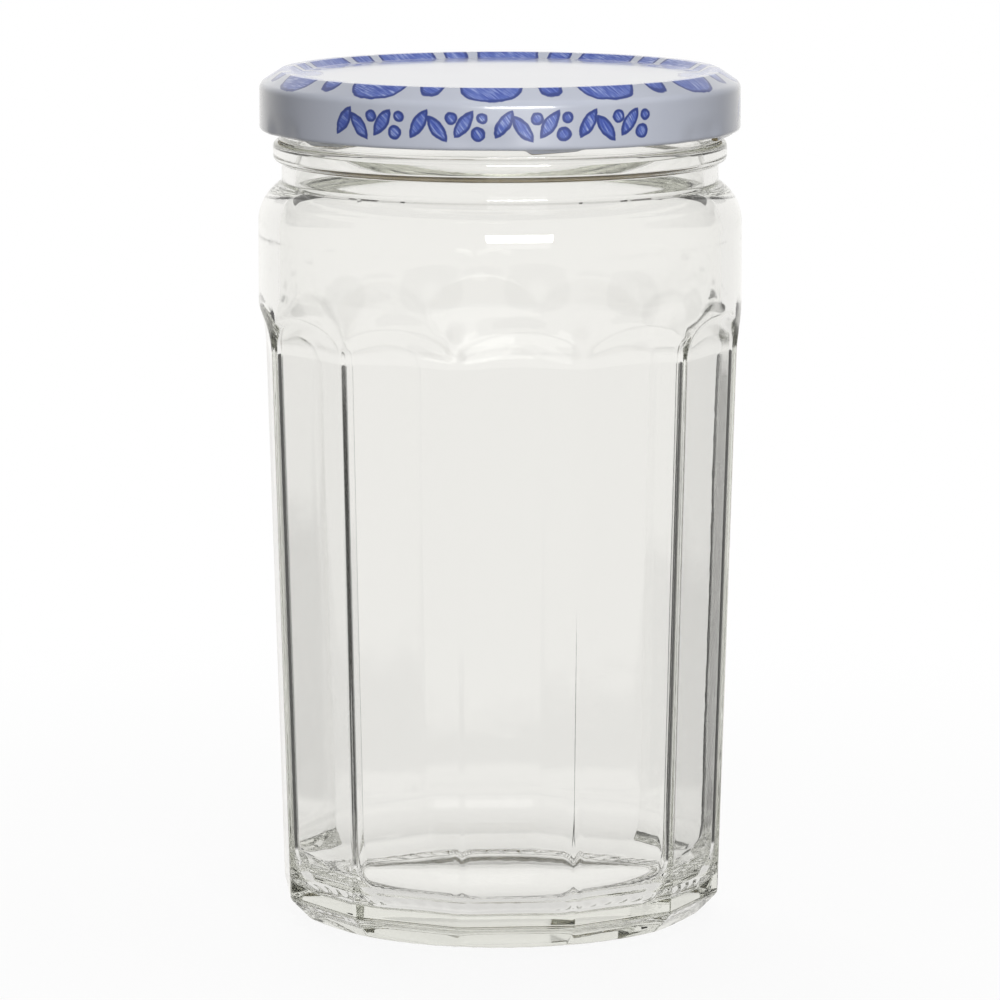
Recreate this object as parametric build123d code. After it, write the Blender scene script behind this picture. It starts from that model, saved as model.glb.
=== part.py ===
from build123d import *
from math import atan, cos, degrees, hypot, pi, radians, sin, sqrt, tan
import os

# A faceted glass jam pot with a six-lug twist-off lid, in millimetres.
# The pot stands on z = 0 with its axis on Z, and one flat panel faces -Y.

# Glass finish: the threaded mouth under the lid
FINISH_RADIUS = 39.2
FINISH_HEIGHT = 10.9
FINISH_WALL = 2.8
RIM_ROUND = 0.9
STARTS = 6                   # thread ridges on the glass, and lugs on the lid
LEAD = 18.0                  # climb of the lid in one turn
THREAD_DEPTH = 1.7
THREAD_TIP = 0.8             # thickness of a ridge at its tip
THREAD_FLANK = 0.6           # how much a ridge thickens towards its root, above
THREAD_UNDERCUT = 0.2        # and below
THREAD_SPAN = 54.0           # length of a ridge, in degrees
THREAD_LEAD_IN = 13.0        # from a lug to the middle of its ridge, in degrees
THREAD_RUN_OUT = 6.0         # length over which a ridge fades at each end, in degrees
THREAD_ROOT = 0.7            # how deep a ridge is rooted in the wall

# Glass body, outside
NECK_INSET = 0.25            # neck inside the finish
NECK_HEIGHT = 3.75
NECK_FILLET = 0.8
BEAD_DEPTH = 1.25            # transfer bead outside the finish, below the lid
BEAD_HEIGHT = 3.7
BEAD_ROUND = 1.2
SHOULDER_WIDTH = 4.2         # from the neck out to the round band above the panels
SHOULDER_RADIUS = 8.2
BAND_HEIGHT = 19.8           # from the springing of the panel heads to the shoulder
FACETS = 12
PANEL_SINK = 0.2             # how far the panel corners lie inside the band at the springing
PANEL_TAPER = 1.7            # lean of the flat panels, in degrees
SPRING_HEIGHT = 105.7        # where the arched panel heads start
ARCH_RISE = 3.3
COVE_RUN = 1.5               # run of the sloping arch edge for each millimetre of its depth

# Glass base
HEEL_HEIGHT = 4.6            # bottom edge of the flat panels
HEEL_RUN = 0.95              # inward run of the heel facets for each millimetre of their height
FOOT_HEIGHT = 0.8            # bottom edge of the heel facets
FOOT_WIDTH = 2.7             # from that edge in to the ring that the pot stands on
BEARING_WIDTH = 4.4
PUNT_HEIGHT = 1.8            # hollow under the base
PUNT_SLOPE = 1.5             # width of its sloping edge
BASE_WALL = 3.7

# Glass walls and bore
BAND_WALL = 2.4
PANEL_WALL = 2.2             # at the middle of a flat panel
FLOOR_FILLET = 9.0
SWELL_HEIGHT = 10.3          # height over which the bore widens from the panels to the band
SWELL_FILLET = 20.0
SHOULDER_INSET = 0.7         # how much shorter the inner shoulder is, at each of its ends
INNER_SHOULDER_FILLET = 6.5

# Lid: one pressed sheet
SHEET = 0.25
PANEL_CLEARANCE = 0.3        # from the rim up to the recessed panel
STEP_WIDTH = 1.7             # from the recessed panel out to the crest
CREST_WIDTH = 1.6
CREST_ROUND = 0.6
SLOPE_WIDTH = 3.65           # from the crest out to the skirt
SLOPE_DROP = 2.4
CORNER_ROUND = 1.6
HEM_ROLL = 1.5               # outside diameter of the rolled hem
HEM_CLEARANCE = 0.45         # from the hem to the tips of the thread
HEM_STANDOFF = 1.8           # from the bead up to the hem
LUG_PLACE = 8.5              # from the -Y side to the nearest lug, in degrees
LUG_HEIGHT = 1.3
LUG_SPAN = 16.0              # in degrees
LUG_RUN_OUT = 3.0            # length over which a lug fades at each end, in degrees
LUG_BITE = 0.75              # how far a lug reaches under the thread tips
LUG_BEVEL = 0.35
LUG_DROP = 0.65              # how far the lugs hang below the hem
LUG_GAP = 0.25               # from a lug up to its ridge

# Seal: a ring of compound under the crest
SEAL_THICKNESS = 1.25
SEAL_WIDTH = 3.6
SEAL_CLEARANCE = 0.12        # between the seal's sides and the channel

# Radii and heights that follow from the driving dimensions
half_facet = radians(180 / FACETS)
mouth_radius = FINISH_RADIUS - FINISH_WALL
thread_radius = FINISH_RADIUS + THREAD_DEPTH
neck_radius = FINISH_RADIUS - NECK_INSET
bead_radius = FINISH_RADIUS + BEAD_DEPTH
body_radius = neck_radius + SHOULDER_WIDTH
band_bore = body_radius - BAND_WALL
spring_apothem = (body_radius - PANEL_SINK) * cos(half_facet)

floor_height = PUNT_HEIGHT + BASE_WALL
shoulder_height = SPRING_HEIGHT + BAND_HEIGHT
shoulder_centre = SHOULDER_RADIUS - SHOULDER_WIDTH
neck_height = shoulder_height + sqrt(SHOULDER_RADIUS ** 2 - shoulder_centre ** 2)
bead_height = neck_height + NECK_HEIGHT
finish_height = bead_height + BEAD_HEIGHT
rim_height = finish_height + FINISH_HEIGHT

panel_height = rim_height + PANEL_CLEARANCE + SHEET
crest_height = rim_height + SEAL_THICKNESS + SHEET
hem_height = finish_height + HEM_STANDOFF
skirt_radius = thread_radius + HEM_CLEARANCE + HEM_ROLL
hem_centre = skirt_radius - HEM_ROLL / 2
hem_middle = hem_height + HEM_ROLL / 2
crest_outer = skirt_radius - SLOPE_WIDTH
crest_inner = crest_outer - CREST_WIDTH
step_foot = crest_inner - STEP_WIDTH
lug_low = hem_height - LUG_DROP
lug_top = lug_low + LUG_HEIGHT
climb_angle = degrees(atan(LEAD / (2 * pi * thread_radius)))


def apothem(z):
    """Distance from the axis to a flat panel at height z."""
    return spring_apothem - (SPRING_HEIGHT - z) * tan(radians(PANEL_TAPER))


def rounded(face, corners):
    """Round the corners of a flat profile that lie at (radius, height, fillet)."""
    for r, z, radius in corners:
        corner = face.vertices().sort_by_distance((r, z, 0))[0]
        face = fillet(corner, radius)
    return face


def turned(points):
    """A ring turned from a closed outline of (radius, height) points."""
    return revolve(upright(make_face(Polyline(*points, close=True))), Axis.Z)


def upright(face):
    """Stand a flat profile of (radius, height) points on its axis."""
    return Rot(90, 0, 0) * face


def around(shape, count):
    """Copies of a shape spaced evenly round the axis."""
    return [Rot(0, 0, 360 / count * i) * shape for i in range(count)]


def on_plan(radius, angle):
    """A point seen from above, with its angle in degrees from -Y towards +X."""
    return (radius * sin(radians(angle)), -radius * cos(radians(angle)))


def climbing_rib(section, plan, height):
    """A stretch of a turned ring, cut to a plan and leaned to climb as the thread does."""
    stretch = turned(section) & extrude(make_face(Polyline(*plan, close=True)), 2 * rim_height)
    return Pos(0, 0, height) * Rot(0, -climb_angle, 0) * Pos(0, 0, -height) * stretch


def glass_blank():
    """The turned form of the glass, before its panels and thread."""
    foot_apothem = apothem(HEEL_HEIGHT) - (HEEL_HEIGHT - FOOT_HEIGHT) * HEEL_RUN
    foot_radius = foot_apothem / cos(half_facet)
    bearing_outer = foot_radius - FOOT_WIDTH
    bearing_inner = bearing_outer - BEARING_WIDTH
    body = Polyline(
        (0, floor_height),
        (0, PUNT_HEIGHT),
        (bearing_inner - PUNT_SLOPE, PUNT_HEIGHT),
        (bearing_inner, 0),
        (bearing_outer, 0),
        (foot_radius, FOOT_HEIGHT),
        (body_radius, HEEL_HEIGHT),
        (body_radius, shoulder_height),
    )
    shoulder = RadiusArc(
        (body_radius, shoulder_height), (neck_radius, neck_height), -SHOULDER_RADIUS
    )
    panel_bore = spring_apothem - PANEL_WALL
    floor_bore = apothem(floor_height) - PANEL_WALL
    mouth_and_bore = Polyline(
        (neck_radius, neck_height),
        (neck_radius, bead_height),
        (bead_radius, bead_height),
        (bead_radius, finish_height),
        (FINISH_RADIUS, finish_height),
        (FINISH_RADIUS, rim_height),
        (mouth_radius, rim_height),
        (mouth_radius, neck_height - SHOULDER_INSET),
        (band_bore, shoulder_height + SHOULDER_INSET),
        (band_bore, SPRING_HEIGHT + SWELL_HEIGHT),
        (panel_bore, SPRING_HEIGHT),
        (floor_bore, floor_height),
        (0, floor_height),
    )
    profile = make_face(body.edges() + shoulder.edges() + mouth_and_bore.edges())
    profile = rounded(profile, [
        (neck_radius, neck_height, NECK_FILLET),
        (bead_radius, bead_height, BEAD_ROUND),
        (bead_radius, finish_height, BEAD_ROUND),
        (FINISH_RADIUS, rim_height, RIM_ROUND),
        (mouth_radius, rim_height, RIM_ROUND),
        (mouth_radius, neck_height - SHOULDER_INSET, INNER_SHOULDER_FILLET),
        (band_bore, shoulder_height + SHOULDER_INSET, INNER_SHOULDER_FILLET),
        (band_bore, SPRING_HEIGHT + SWELL_HEIGHT, SWELL_FILLET),
        (panel_bore, SPRING_HEIGHT, SWELL_FILLET),
        (floor_bore, floor_height, FLOOR_FILLET),
    ])
    return revolve(upright(profile), Axis.Z)


def panel_cutters():
    """What one flat panel takes away on the -Y side: its leg, its coved head and its heel facet."""
    lean = radians(PANEL_TAPER)
    panel = Plane(
        origin=(0, -spring_apothem, SPRING_HEIGHT),
        x_dir=(1, 0, 0),
        z_dir=(0, -cos(lean), -sin(lean)),
    )
    half_width = spring_apothem * tan(half_facet)
    arch_radius = (half_width ** 2 + ARCH_RISE ** 2) / (2 * ARCH_RISE)
    depth = body_radius - apothem(0)
    bottom = (Align.CENTER, Align.CENTER, Align.MIN)
    cone = Cone(arch_radius, arch_radius + depth * COVE_RUN, depth, align=bottom)
    head = panel * Pos(0, ARCH_RISE - arch_radius, 0) * cone
    hanging = (Align.CENTER, Align.MAX, Align.MIN)
    reach = body_radius * tan(half_facet)
    leg = panel * Box(2 * reach, SPRING_HEIGHT / cos(lean), depth, align=hanging)

    heel_top = apothem(HEEL_HEIGHT)
    heel_low = heel_top - HEEL_HEIGHT * HEEL_RUN
    wedge = make_face(Polyline(
        (heel_low, 0),
        (body_radius, 0),
        (body_radius, HEEL_HEIGHT),
        (heel_top, HEEL_HEIGHT),
        close=True,
    ))
    heel = Rot(0, 0, -90) * extrude(upright(wedge), reach, both=True)
    return [head, leg, heel]


def thread_ridge():
    """One short ridge of the thread, placed over the first lug."""
    height = lug_top + LUG_GAP
    root = FINISH_RADIUS - THREAD_ROOT
    section = [
        (root, height - THREAD_UNDERCUT),
        (thread_radius, height),
        (thread_radius, height + THREAD_TIP),
        (root, height + THREAD_TIP + THREAD_FLANK),
    ]
    end = THREAD_SPAN / 2
    outside = 2 * thread_radius
    plan = [
        (0, 0),
        on_plan(FINISH_RADIUS, -end),
        on_plan(thread_radius, THREAD_RUN_OUT - end),
        on_plan(outside, THREAD_RUN_OUT - end),
        on_plan(outside, end - THREAD_RUN_OUT),
        on_plan(thread_radius, end - THREAD_RUN_OUT),
        on_plan(FINISH_RADIUS, end),
    ]
    ridge = climbing_rib(section, plan, height)
    return Pos(0, 0, LEAD * THREAD_LEAD_IN / 360) * Rot(0, 0, LUG_PLACE + THREAD_LEAD_IN) * ridge


def make_glass_jar():
    """The pot: a turned blank with flat panels, heel facets and a thread of short ridges."""
    cutters = []
    for cutter in panel_cutters():
        cutters += around(cutter, FACETS)
    return glass_blank() - cutters + around(thread_ridge(), STARTS)


def lid_lug():
    """The first lug: the hem pressed in to reach under a thread ridge."""
    tip = thread_radius - LUG_BITE
    section = [
        (tip, lug_low + LUG_BEVEL),
        (tip, lug_top - LUG_BEVEL),
        (tip + LUG_BEVEL, lug_top),
        (hem_centre, lug_top),
        (tip + LUG_BEVEL, lug_low),
    ]
    end = LUG_SPAN / 2
    outside = 2 * skirt_radius
    plan = [
        on_plan(outside, -end),
        on_plan(hem_centre, -end),
        on_plan(tip, LUG_RUN_OUT - end),
        on_plan(tip, end - LUG_RUN_OUT),
        on_plan(hem_centre, end),
        on_plan(outside, end),
    ]
    return Rot(0, 0, LUG_PLACE) * climbing_rib(section, plan, lug_top)


def make_lid_shell():
    """The lid: one pressed sheet with a recessed panel, a seal channel, a rolled hem and lugs."""
    pressing = FilletPolyline(
        (0, panel_height),
        (step_foot, panel_height),
        (crest_inner, crest_height),
        (crest_outer, crest_height),
        (skirt_radius, crest_height - SLOPE_DROP),
        (skirt_radius, hem_middle),
        radius=[CREST_ROUND, CREST_ROUND, CREST_ROUND, CORNER_ROUND],
    )
    sheet = make_face(offset(pressing, SHEET, side=Side.RIGHT))
    hem = Pos(hem_centre, hem_middle) * Circle(HEM_ROLL / 2)
    return revolve(upright(sheet + hem), Axis.Z) + around(lid_lug(), STARTS)


def make_lid_seal():
    """The seal: a ring that fills the channel under the crest and sits on the rim."""
    middle = (crest_outer + crest_inner) / 2
    inner = middle - SEAL_WIDTH / 2
    outer = middle + SEAL_WIDTH / 2
    top = rim_height + SEAL_THICKNESS
    half_top = (CREST_WIDTH - CREST_ROUND) / 2 - SEAL_CLEARANCE
    step_rise = (crest_height - panel_height) / STEP_WIDTH
    slope_fall = SLOPE_DROP / SLOPE_WIDTH
    inner_edge = crest_height - (crest_inner - inner) * step_rise - SHEET * hypot(1, step_rise)
    outer_edge = crest_height - (outer - crest_outer) * slope_fall - SHEET * hypot(1, slope_fall)
    return turned([
        (inner, rim_height),
        (outer, rim_height),
        (outer, outer_edge - SEAL_CLEARANCE),
        (middle + half_top, top),
        (middle - half_top, top),
        (inner, inner_edge - SEAL_CLEARANCE),
    ])


os.makedirs("parts", exist_ok=True)
nodes = {
    "glass_jar": make_glass_jar(),
    "lid_shell": make_lid_shell(),
    "lid_seal": make_lid_seal(),
}
for name, shape in nodes.items():
    export_step(shape, f"parts/{name}.step")
    print(name, "volume", round(shape.volume), "solids", len(shape.solids()))
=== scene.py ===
# %% [markdown]
# # A jam pot of pressed glass with a twist-off lid
# The pot is a clear glass jar with twelve flat panels, closed by a lid of lacquered tinplate.
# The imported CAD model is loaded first. It is the fixed frame: metres, +Z up, the pot on z = 0,
# one flat panel facing -Y. Everything below is built in that frame, so nothing has to be fitted.

# %% Load the frame
import math
import bpy
import numpy as np
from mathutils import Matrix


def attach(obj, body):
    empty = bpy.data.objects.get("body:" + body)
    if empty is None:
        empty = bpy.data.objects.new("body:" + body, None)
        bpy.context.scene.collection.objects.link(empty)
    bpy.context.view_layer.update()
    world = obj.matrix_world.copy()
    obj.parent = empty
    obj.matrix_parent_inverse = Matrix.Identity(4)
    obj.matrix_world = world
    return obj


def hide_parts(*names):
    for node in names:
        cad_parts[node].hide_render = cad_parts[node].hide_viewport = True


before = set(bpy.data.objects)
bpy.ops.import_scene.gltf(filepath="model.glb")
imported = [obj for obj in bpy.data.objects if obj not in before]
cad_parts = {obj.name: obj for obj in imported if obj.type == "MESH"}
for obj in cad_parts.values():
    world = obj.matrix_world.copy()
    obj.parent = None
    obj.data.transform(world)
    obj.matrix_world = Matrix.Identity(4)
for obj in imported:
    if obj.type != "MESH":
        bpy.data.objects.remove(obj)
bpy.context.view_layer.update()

MM = 0.001

# %% [markdown]
# ## Points along a profile
# Both the jar and the lid are round at heart, so each starts from a profile of radius and height.
# A profile could be drawn as a Bezier curve and turned with a Screw modifier. Here it is a list of
# points in millimetres, because the panels, the thread and the lugs then bend those points by formula.

# %% Profile helpers
SAME_SPOT = 1e-6


def arc(centre, radius, start, end, bend=9.0):
    """Points on an arc between two angles in degrees, one for every few degrees of bend."""
    turn = np.radians(np.linspace(start, end, max(2, math.ceil(abs(end - start) / bend) + 1)))
    return np.column_stack([centre[0] + radius * np.cos(turn), centre[1] + radius * np.sin(turn)])


def rounded_path(corners):
    """Points along straight runs whose corners, given as (radius, height, fillet), are rounded."""
    spots = np.array([corner[:2] for corner in corners], float)
    points = [spots[:1]]
    for before, spot, after, corner in zip(spots, spots[1:], spots[2:], corners[1:]):
        fillet = corner[2]
        if fillet == 0:
            points.append(spot[None])
            continue
        back = (before - spot) / np.linalg.norm(before - spot)
        onward = (after - spot) / np.linalg.norm(after - spot)
        half = math.acos(np.clip(back @ onward, -1, 1)) / 2
        middle = spot + (back + onward) / np.linalg.norm(back + onward) * fillet / math.sin(half)
        first = spot + back * fillet / math.tan(half) - middle
        last = spot + onward * fillet / math.tan(half) - middle
        start = math.degrees(math.atan2(first[1], first[0]))
        sweep = math.degrees(math.atan2(last[1], last[0])) - start
        sweep = (sweep + 180) % 360 - 180
        points.append(arc(middle, fillet, start, start + sweep))
    return np.concatenate(points + [spots[-1:]])


def halved(start, end, spacing):
    """Points after start, up to end: the run is halved until no step is too long for its place."""
    middle = (start + end) / 2
    if np.linalg.norm(end - start) <= spacing(middle):
        return [end]
    return halved(start, middle, spacing) + halved(middle, end, spacing)


def refine(path, spacing):
    """Split the runs of a path that are longer than the spacing wanted at their place."""
    rows = [path[0]]
    for start, end in zip(path, path[1:]):
        if np.linalg.norm(end - start) > SAME_SPOT:
            rows += halved(start, end, spacing)
    return np.array(rows)


def wrapped(angle, period):
    """An angle brought to within half a period of zero."""
    return (angle + period / 2) % period - period / 2


def eased(value):
    """A smooth step from 0 to 1."""
    value = np.clip(value, 0, 1)
    return value * value * (3 - 2 * value)


# %% [markdown]
# ## From profile to mesh
# A turned skin is a grid: one row for each profile point, one column for each angle. Angles run from
# the -Y side towards +X. A row on the axis is a single point, so the skin closes without a seam and
# every edge has two faces, which is what glass needs before light can bend through it properly.


# %% Mesh helper
def turned_skin(name, radii, heights, angles):
    """A closed mesh object from grids of radii and heights in millimetres, rows by angles."""
    rows, columns = radii.shape
    grid = np.stack([radii * np.sin(angles), -radii * np.cos(angles), heights], axis=-1)[1:-1]
    count = (rows - 2) * columns
    poles = np.array([[0, 0, heights[0, 0]], [0, 0, heights[-1, 0]]])
    points = np.concatenate([grid.reshape(-1, 3), poles]) * MM
    here = np.arange(columns)
    after = np.roll(here, -1)
    quads = []
    for row in range(rows - 3):
        low = row * columns
        high = low + columns
        quads.append(np.column_stack([low + here, low + after, high + after, high + here]))
    top = (rows - 3) * columns
    faces = np.concatenate(quads).tolist()
    faces += np.column_stack([np.full(columns, count), after, here]).tolist()
    faces += np.column_stack([top + here, top + after, np.full(columns, count + 1)]).tolist()
    mesh = bpy.data.meshes.new(name)
    mesh.from_pydata(points.tolist(), [], faces)
    mesh.shade_smooth()
    mesh.update()
    piece = bpy.data.objects.new(name, mesh)
    bpy.context.scene.collection.objects.link(piece)
    print(name, "has", len(mesh.vertices), "points and", len(mesh.polygons), "faces")
    return piece


# %% [markdown]
# ## The glass jar: its sizes
# The jar is pressed and blown in a mould: a round finish with six short thread ridges, a transfer bead,
# a round shoulder and band, twelve flat panels with arched heads, and a chamfered heel with twelve
# facets. The numbers are those of the CAD model, in millimetres and degrees. Only the sweep of the
# panels' heads is this file's own.

# %% Jar sizes: outside
FACETS = 12
HALF_FACET = math.pi / FACETS
BODY_RADIUS = 43.15
SPRING_HEIGHT = 105.7
SPRING_APOTHEM = 41.486
PANEL_TAPER = math.radians(1.7)
SWEEP_START = 103.0
SWEEP_RADIUS = 18.0
HEEL_HEIGHT = 4.6
HEEL_RUN = 0.95
FOOT_HEIGHT = 0.8
FOOT_RADIUS = 36.1
BEARING_RADII = (29.0, 33.4)
PUNT_RADIUS = 27.5
PUNT_HEIGHT = 1.8
SHOULDER_HEIGHT = 125.5
SHOULDER_ROUND = 8.2
SHOULDER_SWEEP = 57.77
NECK_RADIUS = 38.95
NECK_ROUND = 0.8
NECK_LOW = 133.11
NECK_START = 133.2
NECK_TOP = 136.41
BEAD_RADIUS = 40.45
print("jar:", FACETS, "panels,", 2 * BODY_RADIUS, "mm across the band")

# %% Jar sizes: finish and bore
FINISH_RADIUS = 39.2
FINISH_LOW = 140.11
RIM_HEIGHT = 151.008
RIM_OUTER = 37.8
RIM_INNER = 37.7
MOUTH_RADIUS = 36.4
MOUTH_LOW = 131.96
BAND_BORE = 39.47
BAND_BORE_TOP = 126.2
BAND_BORE_LOW = 112.0
FLOOR_BORE = 36.31
FLOOR_HEIGHT = 5.5
STARTS = 6
LEAD = 18.0
LUG_PLACE = 8.5
print("finish:", STARTS, "thread starts, lead", LEAD, "mm, rim at", RIM_HEIGHT, "mm")

# %% [markdown]
# ## The glass jar: panels and heel
# The panels could be cut with Boolean modifiers and bevelled, but a bevel leaves hard lines in glass.
# Instead each point's radius is the smallest of the round blank, the panels and the heel planes.
# A smooth minimum rounds the edges between them, as the mould does, over a few tenths of a millimetre.
# A panel is a leaning plane. Its head sweeps outwards, and where it leaves the blank it draws the arch.

# %% Jar formulas
EDGE_BLEND = 0.3
HEEL_BLEND = 0.5
BORE_BLEND = 1.0


def smooth_min(first, second, blend):
    """The smaller of two lengths, with the change from one to the other rounded off."""
    near = np.clip(blend - np.abs(first - second), 0, None) / blend
    return np.minimum(first, second) - near * near * blend / 4


def panel_radius(angle, height):
    """Radius of the panel centred on angle 0: a leaning plane whose head sweeps out to the band."""
    plane = SPRING_APOTHEM - (SPRING_HEIGHT - height) * math.tan(PANEL_TAPER)
    sweep = np.clip(height - SWEEP_START, 0, None) ** 2 / (2 * SWEEP_RADIUS)
    return (plane + sweep) / np.cos(angle)


def heel_radius(angle, height):
    """Radius of the heel facet centred on angle 0."""
    top = SPRING_APOTHEM - (SPRING_HEIGHT - HEEL_HEIGHT) * math.tan(PANEL_TAPER)
    return (top - (HEEL_HEIGHT - height) * HEEL_RUN) / np.cos(angle)


def bore_radius(angle, height):
    """Radius of an upright facet centred on angle 0, for the shape of the bore's corners."""
    return SPRING_APOTHEM / np.cos(angle)


def over_two_facets(surface, angle, height, blend):
    """A faceted surface, rounded where the nearest facet meets the next one."""
    near = wrapped(angle, 2 * HALF_FACET)
    far = near - np.where(near < 0, -1, 1) * 2 * HALF_FACET
    return smooth_min(surface(near, height), surface(far, height), blend)


# %% [markdown]
# ## The glass jar: thread and foot
# The six thread ridges climb 18 mm in a turn and fade at both ends. The lid hides them until it lifts.
# The ring that the pot stands on is knurled: about sixty small crescents that keep the hot glass from
# dragging on the conveyor. Both could be sculpted or displaced. As formulas they stay crisp and repeat
# exactly.

# %% Thread and knurls
THREAD_DEPTH = 1.7
THREAD_LOW = 142.8
THREAD_LEAD_IN = 13.0
RIDGE_WIDTH = 1.4
RIDGE_FOOT = 0.12
RIDGE_UNDERSIDE = 0.45
RIDGE_BACK = 0.6
RIDGE_HALF_SPAN = 27
RIDGE_RUN_OUT = 6
KNURLS = 60
KNURL_DEPTH = 0.32
KNURL_INSIDE = 0.6
KNURL_EXTRA = 1.8
KNURL_BOW = 0.035


def thread_height(angle, height):
    """How far a thread ridge stands out of the finish."""
    turn = np.degrees(wrapped(angle - math.radians(LUG_PLACE + THREAD_LEAD_IN), 2 * math.pi / STARTS))
    low = THREAD_LOW + LEAD * (THREAD_LEAD_IN + turn) / 360
    rise = eased((height - low + RIDGE_FOOT) / RIDGE_UNDERSIDE)
    fall = eased((low + RIDGE_WIDTH - height) / RIDGE_BACK)
    ends = eased((RIDGE_HALF_SPAN - np.abs(turn)) / RIDGE_RUN_OUT)
    return THREAD_DEPTH * rise * fall * ends


def knurl_height(angle, radius):
    """How far the bearing ring is dented upwards between its crescents."""
    inner, outer = BEARING_RADII
    along = np.clip((radius - inner + KNURL_INSIDE) / (outer - inner + KNURL_EXTRA), 0, 1)
    bowed = angle + KNURL_BOW * (2 * along - 1) ** 2
    window = np.sin(math.pi * along)
    return KNURL_DEPTH * (0.5 - 0.5 * np.cos(KNURLS * bowed)) * window


# %% [markdown]
# ## The glass jar: rows and columns
# Rows lie close together where the arched heads, the heel and the thread need them, and far apart on the
# plain panels. Columns crowd towards the twelve corners, so that each rounded edge gets several of them.
# A Subdivision modifier would add as many points on the plain panels, where they do nothing.

# %% Jar rows
FINE_ROWS = (
    (28, -1, 7.5, 0.2),
    (40, SWEEP_START - 0.5, 113, 0.24),
    (37, FINISH_LOW, RIM_HEIGHT + 1, 0.22),
)
PLAIN_RUN = 4.0


def jar_spacing(spot):
    """Longest run between two rows at a point of the profile."""
    for least_radius, low, high, run in FINE_ROWS:
        if spot[0] > least_radius and low < spot[1] < high:
            return run
    return PLAIN_RUN


def bore_spacing(spot):
    """Longest run between two rows of the bore: shorter where its facets fade out."""
    return 0.8 if 100 < spot[1] < 120 else 2.5


outside_low = rounded_path([
    (0, PUNT_HEIGHT, 0), (PUNT_RADIUS, PUNT_HEIGHT, 1.2), (BEARING_RADII[0], 0, 0.8),
    (BEARING_RADII[1], 0, 0.9), (FOOT_RADIUS, FOOT_HEIGHT, 0.5), (BODY_RADIUS, HEEL_HEIGHT, 1.0),
    (BODY_RADIUS, SHOULDER_HEIGHT, 0)])
shoulder = arc((BODY_RADIUS - SHOULDER_ROUND, SHOULDER_HEIGHT), SHOULDER_ROUND, 0, SHOULDER_SWEEP, 4)
neck = arc((NECK_RADIUS + NECK_ROUND, NECK_LOW), NECK_ROUND, 180 + SHOULDER_SWEEP, 180)
outside_high = rounded_path([
    (NECK_RADIUS, NECK_START, 0), (NECK_RADIUS, NECK_TOP, 0.5), (BEAD_RADIUS, NECK_TOP, 0.95),
    (BEAD_RADIUS, FINISH_LOW, 1.1), (FINISH_RADIUS, FINISH_LOW, 0.4), (FINISH_RADIUS, RIM_HEIGHT, 0.9),
    (RIM_OUTER, RIM_HEIGHT, 0)])
inside = rounded_path([
    (RIM_INNER, RIM_HEIGHT, 0), (MOUTH_RADIUS, RIM_HEIGHT, 0.9), (MOUTH_RADIUS, MOUTH_LOW, 6.5),
    (BAND_BORE, BAND_BORE_TOP, 6.5), (BAND_BORE, BAND_BORE_LOW, 20), (FLOOR_BORE, FLOOR_HEIGHT, 9),
    (0, FLOOR_HEIGHT, 0)])
outside_rows = refine(np.concatenate([outside_low, shoulder, neck, outside_high]), jar_spacing)
inside_rows = refine(inside, bore_spacing)
print("jar rows:", len(outside_rows), "outside,", len(inside_rows), "inside")

# %% Jar columns
COLUMNS = 48
CROWDING = 0.6
step = np.linspace(-1, 1, COLUMNS, endpoint=False)
facet_angles = HALF_FACET * (step + CROWDING * np.sin(math.pi * step) / math.pi)
jar_angles = np.concatenate([facet_angles + 2 * HALF_FACET * k for k in range(FACETS)])[None, :]
print("jar columns:", jar_angles.size)

# %% [markdown]
# ## The glass jar: outside
# The round blank is cut back to the panels and the heel below the shoulder. The thread then stands out
# of the finish, and the knurls dent the foot.

# %% Jar outside
blank = np.broadcast_to(outside_rows[:, :1], (len(outside_rows), jar_angles.size))
outer_z = np.broadcast_to(outside_rows[:, 1:], blank.shape)
panels = over_two_facets(panel_radius, jar_angles, outer_z, EDGE_BLEND)
heels = over_two_facets(heel_radius, jar_angles, outer_z, EDGE_BLEND)
planes = smooth_min(panels, heels, HEEL_BLEND)
outer_r = np.where(outer_z < SHOULDER_HEIGHT, smooth_min(blank, planes, EDGE_BLEND), blank)
on_finish = (outer_z > FINISH_LOW + 0.3) & (outer_z < RIM_HEIGHT - 1)
outer_r = outer_r + np.where(on_finish, thread_height(jar_angles, outer_z), 0)
on_foot = (outer_z < 0.9) & (blank > BEARING_RADII[0] - KNURL_INSIDE)
outer_z = outer_z + np.where(on_foot, knurl_height(jar_angles, blank), 0)
print("jar outside: widest radius", round(float(outer_r.max()), 2), "mm")

# %% [markdown]
# ## The glass jar: bore
# The bore follows the panels with softer corners, as blown glass does: an even wall shows nothing, and
# light bends away only in the corners, which is what draws the dark lines. Blown glass is never quite
# true, so three slow waves a few hundredths of a millimetre high run over it. A Displace modifier could
# add them, but it would shift the outside too.

# %% Jar bore
FACETED_BELOW = 113
FACETED_OVER = 9
WAVE_HEIGHT = 0.012

inner_r = np.broadcast_to(inside_rows[:, :1], (len(inside_rows), jar_angles.size))
inner_z = np.broadcast_to(inside_rows[:, 1:], inner_r.shape)
bore = over_two_facets(bore_radius, jar_angles, inner_z, BORE_BLEND)
faceted = eased((FACETED_BELOW - inner_z) / FACETED_OVER)
inner_r = inner_r * (1 + faceted * (bore / SPRING_APOTHEM - 1))
waves = (np.sin(3 * jar_angles + inner_z / 13) + 0.7 * np.sin(5 * jar_angles - inner_z / 9 + 1.3)
         + 0.5 * np.sin(2 * jar_angles + inner_z / 27 + 0.6))
in_body = eased((inner_z - 14) / 20) * eased((126 - inner_z) / 14)
inner_r = inner_r + WAVE_HEIGHT * waves * in_body
print("jar bore: widest radius", round(float(inner_r.max()), 2), "mm")

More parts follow.
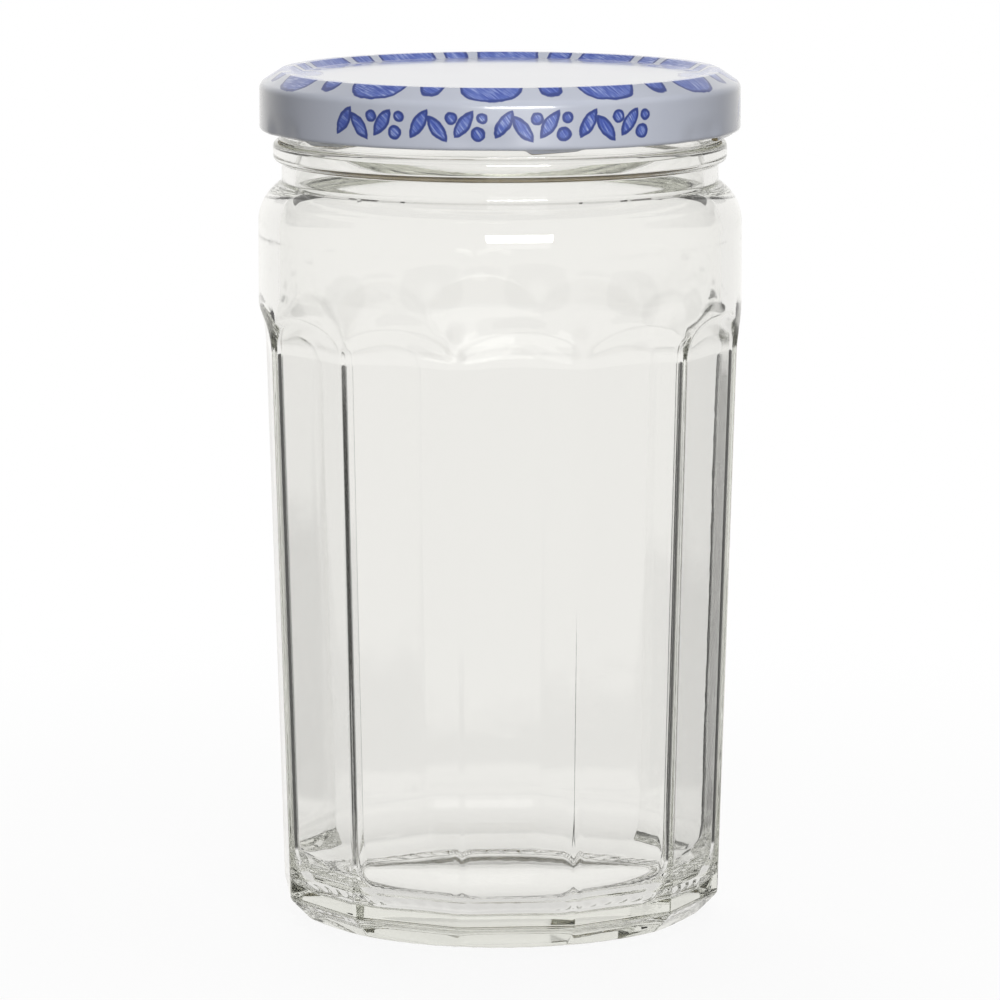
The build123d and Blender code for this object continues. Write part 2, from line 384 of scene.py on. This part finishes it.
# %% [markdown]
# ## The glass jar: one closed skin
# Outside and bore are one list of rows, from the middle of the foot up to the rim and down to the middle
# of the floor. The skin takes the place of the CAD jar and stays on the pot's body.

# %% Jar mesh
jar = turned_skin("jar_glass_body", np.concatenate([outer_r, inner_r]),
                  np.concatenate([outer_z, inner_z]), jar_angles)
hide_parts("glass_jar")
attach(jar, "pot")

# %% [markdown]
# ## The lid: its shape
# The lid is one disc of tinplate, 0.25 mm thick: a recessed panel, a raised crest that holds the seal,
# a sloping shoulder, a straight skirt and a hem rolled inwards. It could be a thin surface with a
# Solidify modifier, but the rolled hem has no even thickness, so both sides are drawn as one profile.

# %% Lid profile
SHEET = 0.25
SKIRT_RADIUS = 42.85
SLOPE_LOW = 150.108
PANEL_RADIUS = 35.9
PANEL_HEIGHT = 151.558
CREST_RADII = (37.6, 39.2)
CREST_HEIGHT = 152.508
HEM_ROLL = 0.75
HEM_CENTRE = (42.1, 142.65)

pressing = rounded_path([
    (0, PANEL_HEIGHT, 0), (PANEL_RADIUS, PANEL_HEIGHT, 0.6), (CREST_RADII[0], CREST_HEIGHT, 0.6),
    (CREST_RADII[1], CREST_HEIGHT, 0.6), (SKIRT_RADIUS, SLOPE_LOW, 1.6), (SKIRT_RADIUS, HEM_CENTRE[1], 0)])
lid_outside = refine(pressing, lambda spot: 0.5 if spot[0] > 36 else 3.0)
along = np.gradient(lid_outside, axis=0)
along /= np.linalg.norm(along, axis=1)[:, None]
lid_inside = lid_outside + SHEET * np.column_stack([along[:, 1], -along[:, 0]])
lid_inside[0] = (0, PANEL_HEIGHT - SHEET)
join_angle = math.degrees(math.acos((SKIRT_RADIUS - SHEET - HEM_CENTRE[0]) / HEM_ROLL))
hem = arc(HEM_CENTRE, HEM_ROLL, join_angle - 360, 0, 12)
lid_inside = lid_inside[lid_inside[:, 1] > hem[0, 1] + 0.1]
lid_rows = np.concatenate([lid_inside, hem, lid_outside[::-1][1:]])
print("lid profile:", len(lid_rows), "rows,", len(lid_inside), "of them inside")

# %% [markdown]
# ## The lid: lugs and dents
# The six lugs are places where a tool has pressed the rolled hem in and down, to reach under the thread.
# Beside each lug the same tool leaves a shallow dent in the skirt. Proportional editing would do this by
# hand. Here both are weights that fade with the angle, and they move the points of the hem and the skirt.

# %% Lugs
LUG_TIP = 40.15
LUG_HALF_SPAN = 8.0
LUG_RUN_OUT = 3.0
LUG_DROP = 1.05
LID_COLUMNS = 720

lid_angles = (np.arange(LID_COLUMNS) * 2 * math.pi / LID_COLUMNS)[None, :]
lid_r = np.broadcast_to(lid_rows[:, :1], (len(lid_rows), LID_COLUMNS))
lid_z = np.broadcast_to(lid_rows[:, 1:], lid_r.shape)
from_lug = np.degrees(wrapped(lid_angles - math.radians(LUG_PLACE), 2 * math.pi / STARTS))
pressed = eased((LUG_HALF_SPAN - np.abs(from_lug)) / LUG_RUN_OUT)
in_hem = np.hypot(lid_r - HEM_CENTRE[0], lid_z - HEM_CENTRE[1]) < HEM_ROLL + 0.01
inward = np.where(in_hem, np.clip((HEM_CENTRE[0] - lid_r) / HEM_ROLL, 0, 1), 0) * pressed
lug_z = np.sqrt(inward) * np.sqrt(pressed) * (LEAD * from_lug / 360 - LUG_DROP)
lug_r = inward * (HEM_CENTRE[0] - HEM_ROLL - LUG_TIP)
print("lugs reach in", round(float(lug_r.max()), 2), "mm and down", round(float(-lug_z.min()), 2), "mm")

# %% Dents and lid mesh
DENT_PLACE = LUG_PLACE - 17
DENT_DEPTH = 0.38
DENT_HALF_SPAN = 10.0
DENT_RUN_OUT = 7
DENT_TOP = 146.6
DENT_FADE = 4.0
SKIRT_FROM = 41

from_dent = np.degrees(wrapped(lid_angles - math.radians(DENT_PLACE), 2 * math.pi / STARTS))
dented = eased((DENT_HALF_SPAN - np.abs(from_dent)) / DENT_RUN_OUT) * eased((DENT_TOP - lid_z) / DENT_FADE)
dent = np.where(lid_r > SKIRT_FROM, DENT_DEPTH * dented, 0)

lid = turned_skin("lid_pressing", lid_r - lug_r - dent, lid_z + lug_z, lid_angles)
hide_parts("lid_shell")
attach(lid, "lid")

# %% [markdown]
# ## Colours and nodes
# Colours are written as sRGB hex values, as a paint chart gives them, and one function turns them to the
# linear numbers that a shader works with. Another adds a node, sets it and links it, whatever its kind.
# The nodes that come up most (arithmetic, noise, a ramp, a mix of two colours) have a short form.


# %% Material helpers
def colour(code):
    """A linear RGBA colour from an sRGB hex code."""
    parts = [int(code[i:i + 2], 16) / 255 for i in (0, 2, 4)]
    return [p / 12.92 if p <= 0.04045 else ((p + 0.055) / 1.055) ** 2.4 for p in parts] + [1.0]


def add(tree, kind, inputs=None, **settings):
    """Add a shader node with its settings, and give each input a value or a link."""
    made = tree.nodes.new("ShaderNode" + kind)
    for key, value in settings.items():
        setattr(made, key, value)
    for key, value in (inputs or {}).items():
        if isinstance(value, bpy.types.NodeSocket):
            tree.links.new(value, made.inputs[key])
        else:
            made.inputs[key].default_value = value
    return made


def sums(tree, operation, *values):
    """One step of arithmetic on values or links."""
    return add(tree, "Math", dict(enumerate(values)), operation=operation).outputs[0]


def noise(tree, place, period, detail):
    """Noise with patches about as large as the period."""
    return add(tree, "TexNoise", {"Vector": place, "Scale": 1 / period, "Detail": detail}).outputs["Fac"]


def ramp(tree, value, start, end, low, high, **settings):
    """A value that runs from low to high while another runs from start to end."""
    ends = {"From Min": start, "From Max": end, "To Min": low, "To Max": high}
    return add(tree, "MapRange", {"Value": value, **ends}, **settings).outputs[0]


def blend(tree, share, first, second):
    """Two colours mixed by a share."""
    return add(tree, "Mix", {"Factor": share, "A": first, "B": second}, data_type="RGBA").outputs["Result"]


def new_material(name):
    """An empty node material and its output node."""
    made = bpy.data.materials.new(name)
    made.use_nodes = True
    made.node_tree.nodes.clear()
    return made.node_tree, add(made.node_tree, "OutputMaterial"), made


# %% [markdown]
# ## Soda-lime glass
# Container glass is soda-lime glass, IOR 1.52, pressed and fire-polished. It is almost clear: only where
# the eye looks through a long stretch of it, at the edges and the base, does iron give a grey-green tint.
# So the tint is absorption in the volume, and the surface has a faint waviness with a period of a few
# millimetres, and handling marks that only change the gloss.

# %% Soda-lime glass
tree, out, glass = new_material("soda_lime_glass")
place = add(tree, "TexCoord").outputs["Object"]
slow = noise(tree, place, 9 * MM, 1.0)
fine = noise(tree, place, 2.2 * MM, 2.0)
both = sums(tree, "MULTIPLY_ADD", fine, 0.25, slow)
ripple = add(tree, "Bump", {"Height": both, "Strength": 0.3, "Distance": 0.03 * MM})
handled = noise(tree, place, 14 * MM, 4.0)
gloss = ramp(tree, handled, 0.45, 0.75, 0.0, 0.03)
body = add(tree, "BsdfPrincipled", {
    "Base Color": colour("FBFBFA"), "IOR": 1.52, "Transmission Weight": 1.0,
    "Roughness": gloss, "Normal": ripple.outputs[0]})
tint = add(tree, "VolumeAbsorption", {"Color": colour("D3D6C2"), "Density": 5.0})
tree.links.new(body.outputs[0], out.inputs["Surface"])
tree.links.new(tint.outputs[0], out.inputs["Volume"])
jar.data.materials.append(glass)
print(glass.name, "has", len(tree.nodes), "nodes")

# %% [markdown]
# ## The print on the lid
# The lid is printed flat, before it is pressed, with a blue design that looks drawn by pen: petals round
# the crest, and sprigs of leaves and berries on the skirt. The panel's middle is bare. An image could
# carry the design, but a few distances do it too: each motif is a shape whose distance to its edge is
# worked out in millimetres. The edge becomes a pen line, the inside is filled with slanting strokes.

# %% Print: places on the lid in millimetres
tree, out, enamel = new_material("printed_enamel_on_tinplate")
place = add(tree, "TexCoord").outputs["Object"]
in_mm = add(tree, "VectorMath", {0: place, "Scale": 1 / MM}, operation="SCALE").outputs[0]
axes = add(tree, "SeparateXYZ", {0: in_mm})
minus_y = sums(tree, "MULTIPLY", axes.outputs[1], -1.0)
turn = sums(tree, "ARCTAN2", axes.outputs[0], minus_y)
flat = add(tree, "CombineXYZ", {0: axes.outputs[0], 1: axes.outputs[1]}).outputs[0]
radius = add(tree, "VectorMath", {0: flat}, operation="LENGTH").outputs["Value"]
height = axes.outputs[2]
print("print starts with", len(tree.nodes), "nodes")

# %% [markdown]
# A ring of petals repeats one petal by wrapping the angle. The petal is a rounded box: the cubes of its
# two offsets are added, which gives fuller ends than an ellipse. Wide and narrow petals take turns.

# %% Print: petals on the crest
PETALS = 12
PETAL_SHIFT = 0.12
FULLNESS = 3.0


def petal_ring(middle, half_length, half_width, shift):
    """Distance, in millimetres, to the edge of the nearest petal of a ring."""
    cell = 2 * math.pi / PETALS
    moved = sums(tree, "ADD", turn, shift)
    local = sums(tree, "WRAP", moved, cell / 2, -cell / 2)
    across = sums(tree, "MULTIPLY", local, radius)
    outward = sums(tree, "SUBTRACT", radius, middle)
    parts = []
    for offset, half in ((across, half_width), (outward, half_length)):
        share = sums(tree, "DIVIDE", offset, half)
        parts.append(sums(tree, "POWER", sums(tree, "ABSOLUTE", share), FULLNESS))
    reach = sums(tree, "POWER", sums(tree, "ADD", *parts), 1 / FULLNESS)
    return sums(tree, "MULTIPLY_ADD", reach, half_width, -half_width)


petals = sums(tree, "MINIMUM", petal_ring(37.0, 5.4, 5.6, PETAL_SHIFT),
              petal_ring(37.6, 3.8, 2.2, PETAL_SHIFT + math.pi / PETALS))
print("with the petals:", len(tree.nodes), "nodes")

# %% [markdown]
# On the skirt, a cell of one sprig repeats round the lid. A leaf is the overlap of two circles, a berry
# is one circle. Three stretches of skirt between the rows of sprigs are left bare.

# %% Print: one cell of the skirt
SPRIG = 14.96
SPRIG_MIDDLE = 146.0
SPRIG_SHIFT = math.radians(7.2)
moved = sums(tree, "ADD", turn, SPRIG_SHIFT)
round_skirt = sums(tree, "MULTIPLY", moved, SKIRT_RADIUS)
cell_x = sums(tree, "SUBTRACT", sums(tree, "WRAP", round_skirt, SPRIG, 0.0), SPRIG / 2)
cell_y = sums(tree, "SUBTRACT", height, SPRIG_MIDDLE)
cell = add(tree, "CombineXYZ", {0: cell_x, 1: cell_y}).outputs[0]
print("a sprig's cell is", SPRIG, "mm long")

# %% Print: leaves and berries
LEAVES = ((-4.9, 0.5, 58), (-1.6, -0.3, -52), (3.1, 0.5, 55))
BERRIES = ((0.9, 1.5, 1.15), (5.6, -1.2, 1.3), (6.3, 1.6, 1.0))
LEAF_HALF_LENGTH = 2.9
LEAF_HALF_WIDTH = 1.25
leaf_circle = (LEAF_HALF_LENGTH ** 2 + LEAF_HALF_WIDTH ** 2) / (2 * LEAF_HALF_WIDTH)
motifs = []
for x, y, lean in LEAVES:
    spot = add(tree, "Mapping", {"Vector": cell, "Location": (x, y, 0),
                                 "Rotation": (0, 0, math.radians(lean))}, vector_type="TEXTURE").outputs[0]
    sides = []
    for side in (1, -1):
        centre = (0, side * (leaf_circle - LEAF_HALF_WIDTH), 0)
        sides.append(add(tree, "VectorMath", {0: spot, 1: centre}, operation="DISTANCE").outputs["Value"])
    motifs.append(sums(tree, "SUBTRACT", sums(tree, "MAXIMUM", *sides), leaf_circle))
for x, y, size in BERRIES:
    away = add(tree, "VectorMath", {0: cell, 1: (x, y, 0)}, operation="DISTANCE").outputs["Value"]
    motifs.append(sums(tree, "SUBTRACT", away, size))
sprigs = motifs[0]
for motif in motifs[1:]:
    sprigs = sums(tree, "MINIMUM", sprigs, motif)
print("a sprig has", len(LEAVES), "leaves and", len(BERRIES), "berries")

# %% Print: where the motifs may stand
STRETCH = math.radians(120)
SPRIGS_END = 149.9
FAR_OFF = 9.0
stretch = sums(tree, "WRAP", moved, STRETCH / 2, -STRETCH / 2)
bare = sums(tree, "GREATER_THAN", sums(tree, "ABSOLUTE", stretch), 2 * SPRIG / SKIRT_RADIUS)
off_skirt = sums(tree, "MAXIMUM", bare, sums(tree, "GREATER_THAN", height, SPRIGS_END))
sprigs = sums(tree, "MULTIPLY_ADD", off_skirt, FAR_OFF, sprigs)
off_crest = sums(tree, "LESS_THAN", height, SPRIGS_END)
petals = sums(tree, "MULTIPLY_ADD", off_crest, FAR_OFF, petals)
distance = sums(tree, "MINIMUM", sprigs, petals)
print("with the sprigs:", len(tree.nodes), "nodes")

# %% [markdown]
# A pen line wavers, so the distance gets a little noise. The strokes are noise too, squeezed to a fifth
# of a millimetre one way and stretched along a slant the other way. A third noise is the pressure of the
# pen.

# %% Print: pen line and strokes
waver = noise(tree, in_mm, 1.6, 3.0)
unsteady = sums(tree, "MULTIPLY_ADD", waver, 0.55, distance)
leaning = add(tree, "Mapping", {"Vector": in_mm, "Rotation": (0.0, math.radians(-32), math.radians(24)),
                                "Scale": (0.2, 2.6, 2.6)}, vector_type="TEXTURE").outputs[0]
strokes = noise(tree, leaning, 1.0, 2.0)
pressure = noise(tree, in_mm, 2.4, 3.0)
inked = add(tree, "Mix", {"Factor": 0.75, "A": pressure, "B": strokes}).outputs[0]
filled = add(tree, "ValToRGB", {"Fac": inked})
ink = filled.color_ramp.elements
ink[0].position, ink[0].color = 0.36, colour("4054AC")
ink[1].position, ink[1].color = 0.66, colour("AEBBE6")
ink.new(0.52).color = colour("6076C4")
line = ramp(tree, unsteady, -0.34, -0.1, 0, 1)
covered = ramp(tree, unsteady, 0.22, 0.36, 1, 0)
pen = blend(tree, line, filled.outputs[0], colour("34468E"))
print("with pen and strokes:", len(tree.nodes), "nodes")

# %% [markdown]
# ## Lacquered tinplate
# Under the print is a white enamel tinted pale blue, roller-coated and stoved, with a clear varnish on
# top: semi-gloss, with a slight orange peel about a millimetre across, and patches that handling has
# rubbed a little duller. A plain colour would look like plastic: the coat over a softer gloss is what
# makes it read as varnished metal.

# %% Printed enamel
uneven = noise(tree, in_mm, 7.0, 5.0)
ground = blend(tree, uneven, colour("C3C8D6"), colour("CDD1DD"))
printed = blend(tree, covered, ground, pen)
peel = noise(tree, in_mm, 0.9, 2.0)
skin = add(tree, "Bump", {"Height": peel, "Strength": 0.35, "Distance": 0.02 * MM})
rubbed = ramp(tree, uneven, 0.3, 0.75, 0.28, 0.35)
body = add(tree, "BsdfPrincipled", {
    "Base Color": printed, "Roughness": rubbed, "Normal": skin.outputs[0],
    "IOR": 1.5, "Coat Weight": 1.0, "Coat Roughness": 0.1})
tree.links.new(body.outputs[0], out.inputs["Surface"])
lid.data.materials.append(enamel)
print(enamel.name, "has", len(tree.nodes), "nodes")

# %% [markdown]
# Inside, and on the rolled edge that the print leaves free, tinplate has a gold lacquer against the acid
# of the fruit: a clear yellow film on bright metal. It could be a coat over a tin shader. One metallic
# shader in the colour that both make together is simpler, with the fine lines that rolling leaves.

# %% Gold lacquer inside the lid
tree, out, lacquer = new_material("gold_lacquered_tinplate")
place = add(tree, "TexCoord").outputs["Object"]
cloud = noise(tree, place, 6 * MM, 4.0)
rolled = add(tree, "Mapping", {"Vector": place,
                               "Scale": (1 / (0.4 * MM), 1 / (9 * MM), 1 / (9 * MM))}).outputs[0]
grain = noise(tree, rolled, 1.0, 2.0)
gold = blend(tree, cloud, colour("94835A"), colour("AC9C76"))
dull = ramp(tree, cloud, 0.3, 0.7, 0.28, 0.4)
lines = add(tree, "Bump", {"Height": grain, "Strength": 0.2, "Distance": 0.01 * MM})
body = add(tree, "BsdfPrincipled", {
    "Base Color": gold, "Metallic": 0.85, "Roughness": dull, "Normal": lines.outputs[0]})
tree.links.new(body.outputs[0], out.inputs["Surface"])
lid.data.materials.append(lacquer)
print(lacquer.name, "has", len(tree.nodes), "nodes")

# %% [markdown]
# One closed skin has two finishes, so its faces are sorted. They could be picked by hand in Edit Mode,
# but that would be lost with every change of rows. The grid's rows run from the middle of the inside out
# to the hem and back over the outside, so the faces before the free edge are the lacquered ones. The two
# fans of triangles at the middle come last in the list, the inside one first.

# %% Which faces of the lid are lacquered
EDGE_INWARD = 0.35
free_edge = np.argmax((hem[:, 0] > HEM_CENTRE[0] - EDGE_INWARD) & (hem[:, 1] < HEM_CENTRE[1]))
edge_row = len(lid_inside) + int(free_edge)
slots = np.zeros(len(lid.data.polygons), dtype=np.int32)
slots[:(edge_row - 1) * LID_COLUMNS] = 1
fans = len(slots) - 2 * LID_COLUMNS
slots[fans:fans + LID_COLUMNS] = 1
lid.data.polygons.foreach_set("material_index", slots)
print("lacquered faces:", int(slots.sum()), "of", len(slots))

# %% [markdown]
# ## The seal
# The seal is a ring of plastisol, a soft vinyl compound that is flowed into the crest and cured there. It
# is smooth and waxy, pale grey, a little uneven where it flowed. It could be turned like the lid, but the
# CAD ring has the right shape and stays. It only gets its material.

# %% Plastisol
tree, out, plastisol = new_material("plastisol_compound")
place = add(tree, "TexCoord").outputs["Object"]
flow = noise(tree, place, 5 * MM, 3.0)
tone = blend(tree, flow, colour("C9C6BC"), colour("DBD8CE"))
matt = ramp(tree, flow, 0.3, 0.7, 0.42, 0.58)
swell = add(tree, "Bump", {"Height": flow, "Strength": 0.3, "Distance": 0.05 * MM})
body = add(tree, "BsdfPrincipled", {
    "Base Color": tone, "Roughness": matt, "Normal": swell.outputs[0], "IOR": 1.52})
tree.links.new(body.outputs[0], out.inputs["Surface"])
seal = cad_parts["lid_seal"]
seal.data.materials.clear()
seal.data.materials.append(plastisol)
print(plastisol.name, "has", len(tree.nodes), "nodes")

# %% [markdown]
# ## The floor
# The photograph has a white ground. The floor is a pale card that takes the pot's shadow. A plain white
# card would render grey, so for camera rays a share of light of its own brings it to white, a little
# less near the pot. Glass and gloss don't see the card: what they show is the world.

# %% Floor
NEAR_POT = 0.06
FAR_AWAY = 0.32
tree, out, card = new_material("white_card")
path = add(tree, "LightPath")
place = add(tree, "TexCoord").outputs["Object"]
fibre = noise(tree, place, 3 * MM, 2.0)
paper = blend(tree, fibre, colour("F1F1F1"), colour("F4F4F4"))
dimmer = blend(tree, path.outputs["Is Diffuse Ray"], paper, colour("4A4A4A"))
matte = add(tree, "BsdfDiffuse", {"Color": dimmer})
away = add(tree, "VectorMath", {0: place}, operation="LENGTH").outputs["Value"]
far = ramp(tree, away, NEAR_POT, FAR_AWAY, 0.91, 1.0, interpolation_type="SMOOTHSTEP")
share = sums(tree, "MULTIPLY", far, path.outputs["Is Camera Ray"])
glow = add(tree, "Emission", {"Color": colour("FFFFFF"), "Strength": 1.0})
lift = add(tree, "MixShader", {0: share, 1: matte.outputs[0], 2: glow.outputs[0]})
tree.links.new(lift.outputs[0], out.inputs["Surface"])
bpy.ops.mesh.primitive_plane_add(size=60.0)
floor = bpy.context.active_object
floor.name = "floor_card"
floor.data.materials.append(card)
floor.visible_transmission = floor.visible_glossy = False
print(card.name, "has", len(tree.nodes), "nodes")

# %% [markdown]
# ## The world
# Clear glass on white is drawn by what is dark beside it. Photographers stand black cards out of the
# picture, and the corners of the panels bend them into view as thin dark lines. Real cards could be
# modelled, but they would shade the lid too. Here the world holds them: eight upright dark strips that
# end just below the horizon, seen only by light that has entered the glass. Light that has been thrown
# back once inside the glass is dark too, in a band just under the cards' top.

# %% World: the dark cards
CARD_TURN = math.radians(4.6)
CARD_PLACE = math.radians(24.5)
CARD_HALF = math.radians(7)
CARD_TOP = (-0.124, -0.117)
THROWN_BACK = 0.95
QUARTER = math.radians(90)
world = bpy.data.worlds.new("studio")
bpy.context.scene.world = world
world.use_nodes = True
tree = world.node_tree
tree.nodes.clear()
path = add(tree, "LightPath")
look = add(tree, "SeparateXYZ", {0: add(tree, "TexCoord").outputs["Generated"]})
bearing = sums(tree, "ARCTAN2", look.outputs[0], look.outputs[1])
rise = look.outputs[2]
bounced = sums(tree, "COMPARE", path.outputs["Glossy Depth"], 1.0, 0.5)
entered = sums(tree, "GREATER_THAN", path.outputs["Transmission Depth"], 0.5)
near = sums(tree, "WRAP", sums(tree, "SUBTRACT", bearing, CARD_TURN), QUARTER / 2, -QUARTER / 2)
cards = sums(tree, "COMPARE", sums(tree, "ABSOLUTE", near), CARD_PLACE, CARD_HALF)
within = ramp(tree, rise, -0.4, -0.3, 0.0, THROWN_BACK)
strip = add(tree, "Mix", {"Factor": bounced, "A": cards, "B": within}).outputs[0]
strip = sums(tree, "MULTIPLY", strip, ramp(tree, rise, *CARD_TOP, 1.0, 0.0))
strip = sums(tree, "MULTIPLY", strip, entered)
print("dark cards:", len(tree.nodes), "nodes")

# %% [markdown]
# Behind the cards, light inside the glass sees a white room, greyer straight down and overhead. Light
# that only glances off the outside sees a darker room with one bright wall behind the pot. The world is
# white to the camera, and dim as a source of light, so that the lamps shape the lid.

# %% World: the room
low_room = ramp(tree, rise, -0.9, -0.3, 0.76, 1.0)
high_room = ramp(tree, rise, 0.1, 0.6, 1.0, 0.85)
through = sums(tree, "MULTIPLY", low_room, high_room)
mirrored = ramp(tree, look.outputs[1], 0.6, 0.95, 0.25, 1.0)
lit = add(tree, "Mix", {"Factor": entered, "A": mirrored, "B": through}).outputs[0]
shade = blend(tree, lit, colour("22221E"), colour("FCFBF9"))
studio = blend(tree, strip, shade, colour("14140F"))
diffuse = blend(tree, path.outputs["Is Diffuse Ray"], studio, colour("424242"))
seen = blend(tree, path.outputs["Is Camera Ray"], diffuse, colour("FFFFFF"))
sky = add(tree, "Background", {"Color": seen, "Strength": 1.0})
add(tree, "OutputWorld", {"Surface": sky.outputs[0]})
print(world.name, "has", len(tree.nodes), "nodes")

# %% [markdown]
# ## Lamps
# Three soft boxes, as large as they would be in a studio, stand in front, above and behind. A sun or a
# point lamp would give hard shadows, which the photograph hasn't. Only the front box shows in the gloss,
# and inside the glass it is dimmed, to keep its repeated images faint.


# %% Lamps
def soft_box(name, spot, target, size, power):
    """A rectangular area lamp that points at a target."""
    lamp = bpy.data.lights.new(name, "AREA")
    lamp.shape = "RECTANGLE"
    lamp.size, lamp.size_y = size
    lamp.energy = power
    piece = bpy.data.objects.new(name, lamp)
    bpy.context.scene.collection.objects.link(piece)
    piece.location = spot
    away = np.array(spot) - np.array(target)
    piece.rotation_euler = (math.atan2(math.hypot(away[0], away[1]), away[2]), 0,
                            math.atan2(away[1], away[0]) + math.pi / 2)
    print(name, "has", power, "watts")
    return piece


front_box = soft_box("front_box", (0.12, -1.5, 0.42), (0, 0, 0.13), (0.85, 0.5), 20)
front_box.data.use_nodes = True
tree = front_box.data.node_tree
tree.nodes.clear()
deep = add(tree, "LightPath").outputs["Transmission Depth"]
dimmed = ramp(tree, deep, 0.4, 0.6, 1.0, 0.08)
face = add(tree, "Emission", {"Color": colour("FFFFFF"), "Strength": dimmed})
add(tree, "OutputLight", {"Surface": face.outputs[0]})
top_box = soft_box("top_box", (0.1, 0.1, 1.5), (0, 0, 0.1), (0.8, 0.8), 8)
back_box = soft_box("back_box", (-0.3, 1.8, 0.8), (0, 0, 0.15), (1.2, 0.8), 20)
for box in (top_box, back_box):
    box.visible_camera = box.visible_glossy = box.visible_transmission = False

# %% [markdown]
# ## Camera
# The camera was fitted to the photograph's rims and corners: it stands 1.2 m away with a long lens, looks
# down a little more than eight degrees, and is turned a little to the right. A light ray crosses the
# glass many times, so many bounces are allowed.

# %% Camera
PITCH = 8.44
VIEW_TURN = 4.6
LENS = 243.5
BOUNCES = 40
lens = bpy.data.cameras.new("view")
lens.sensor_width = 36
lens.lens = LENS
camera = bpy.data.objects.new("view", lens)
bpy.context.scene.collection.objects.link(camera)
camera.location = (-0.0964, -1.198, 0.2533)
camera.rotation_euler = (math.radians(90 - PITCH), 0, math.radians(-VIEW_TURN))
bpy.context.scene.camera = camera
bpy.context.scene.view_settings.view_transform = "Standard"
bpy.context.scene.cycles.max_bounces = BOUNCES
bpy.context.scene.cycles.glossy_bounces = BOUNCES
bpy.context.scene.cycles.transmission_bounces = BOUNCES
print("camera looks down", PITCH, "degrees through a lens of", LENS, "mm")
